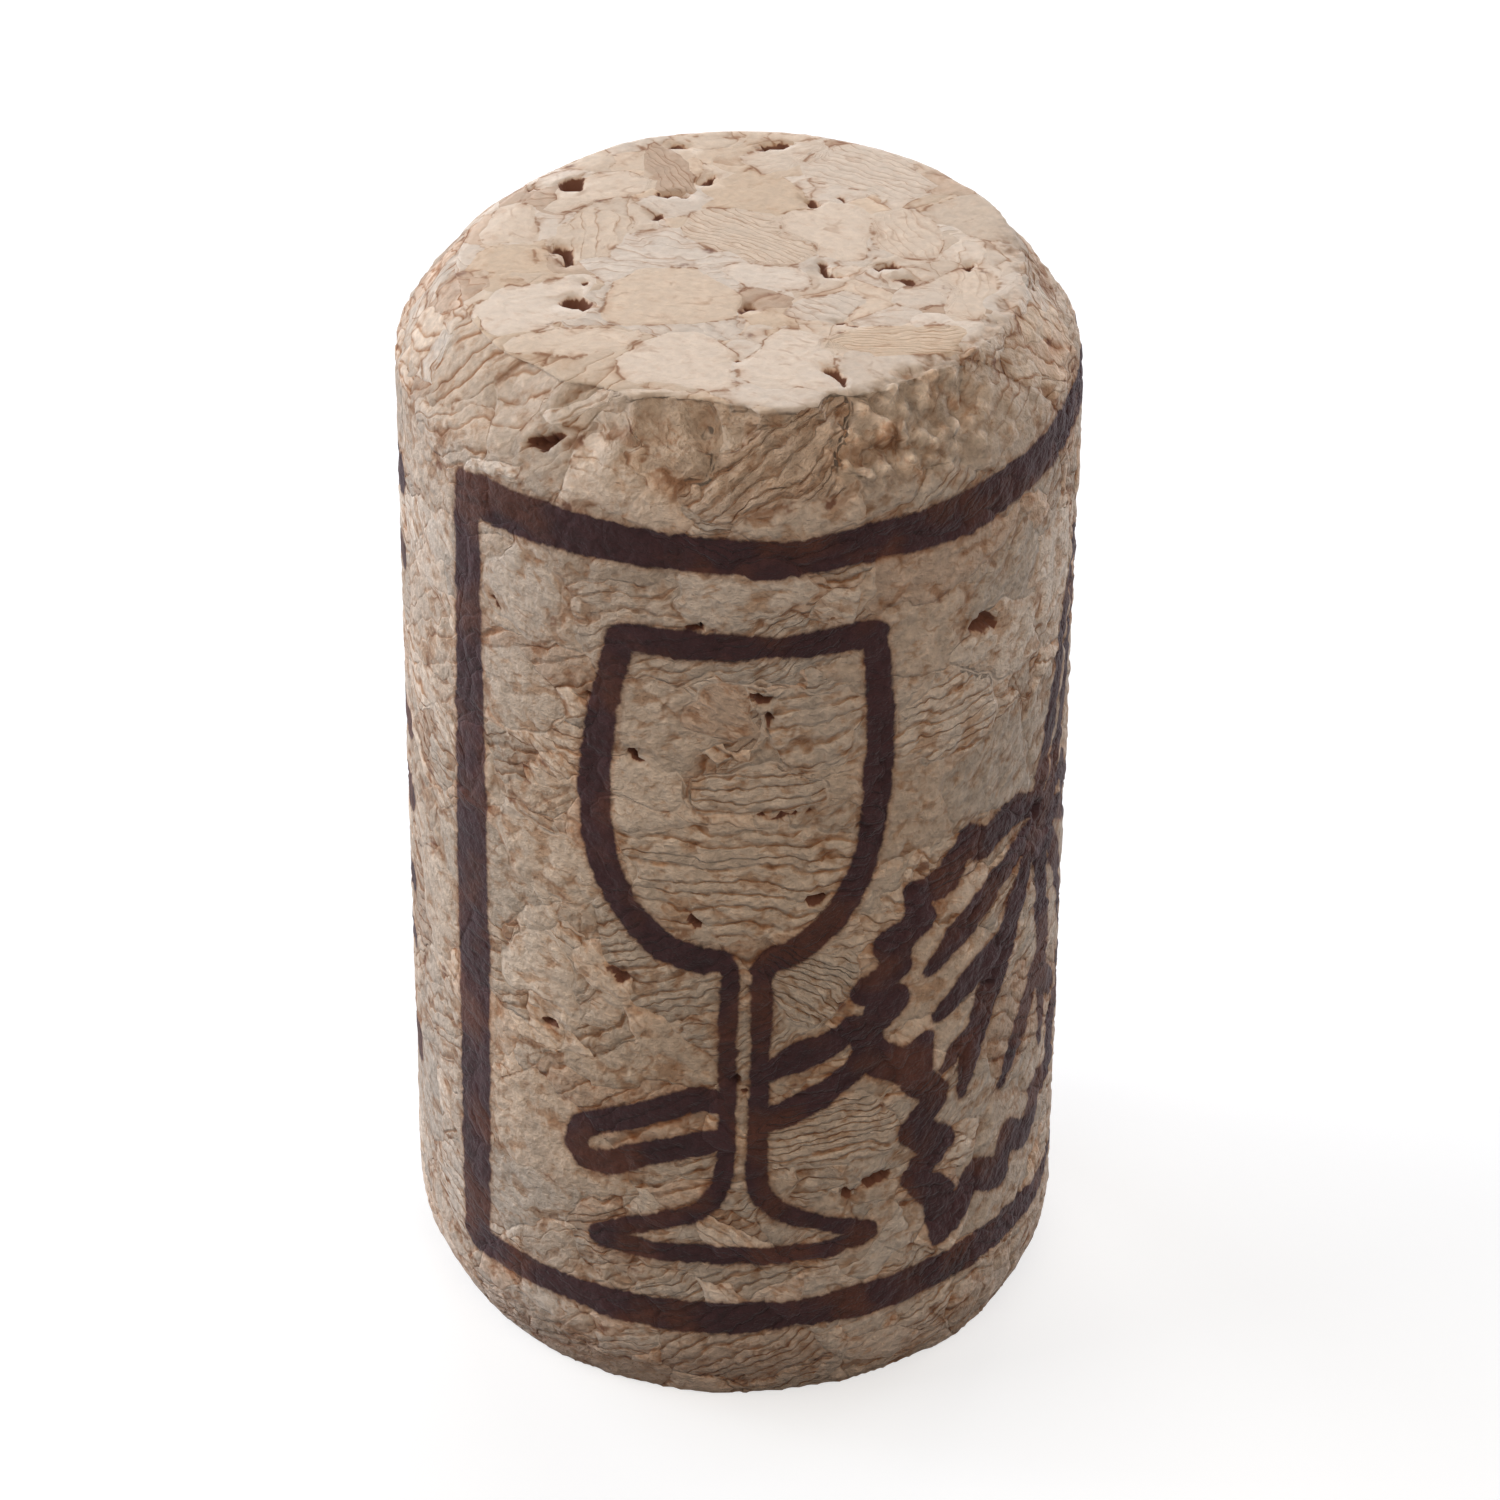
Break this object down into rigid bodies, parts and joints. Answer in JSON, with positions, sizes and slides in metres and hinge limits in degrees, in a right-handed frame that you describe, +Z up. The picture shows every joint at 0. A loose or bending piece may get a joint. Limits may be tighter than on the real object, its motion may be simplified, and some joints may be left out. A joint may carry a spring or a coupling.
{
  "type": "wine cork",
  "caption": "Agglomerated cork stopper for a wine bottle, a straight cylinder with chamfered ends and a printed side.",
  "frame": {"origin": "middle of the foot, on the surface that the cork stands on", "axes": "+Z up the cork's axis, -Y towards the middle of the printed front"},
  "size_m": [0.022, 0.022, 0.038],
  "materials": {
    "cork": "dry ground agglomerated cork, matte, with a dark brown printed line drawing on the side"
  },
  "bodies": {
    "root": {"cork": "cork"}
  },
  "joints": []
}
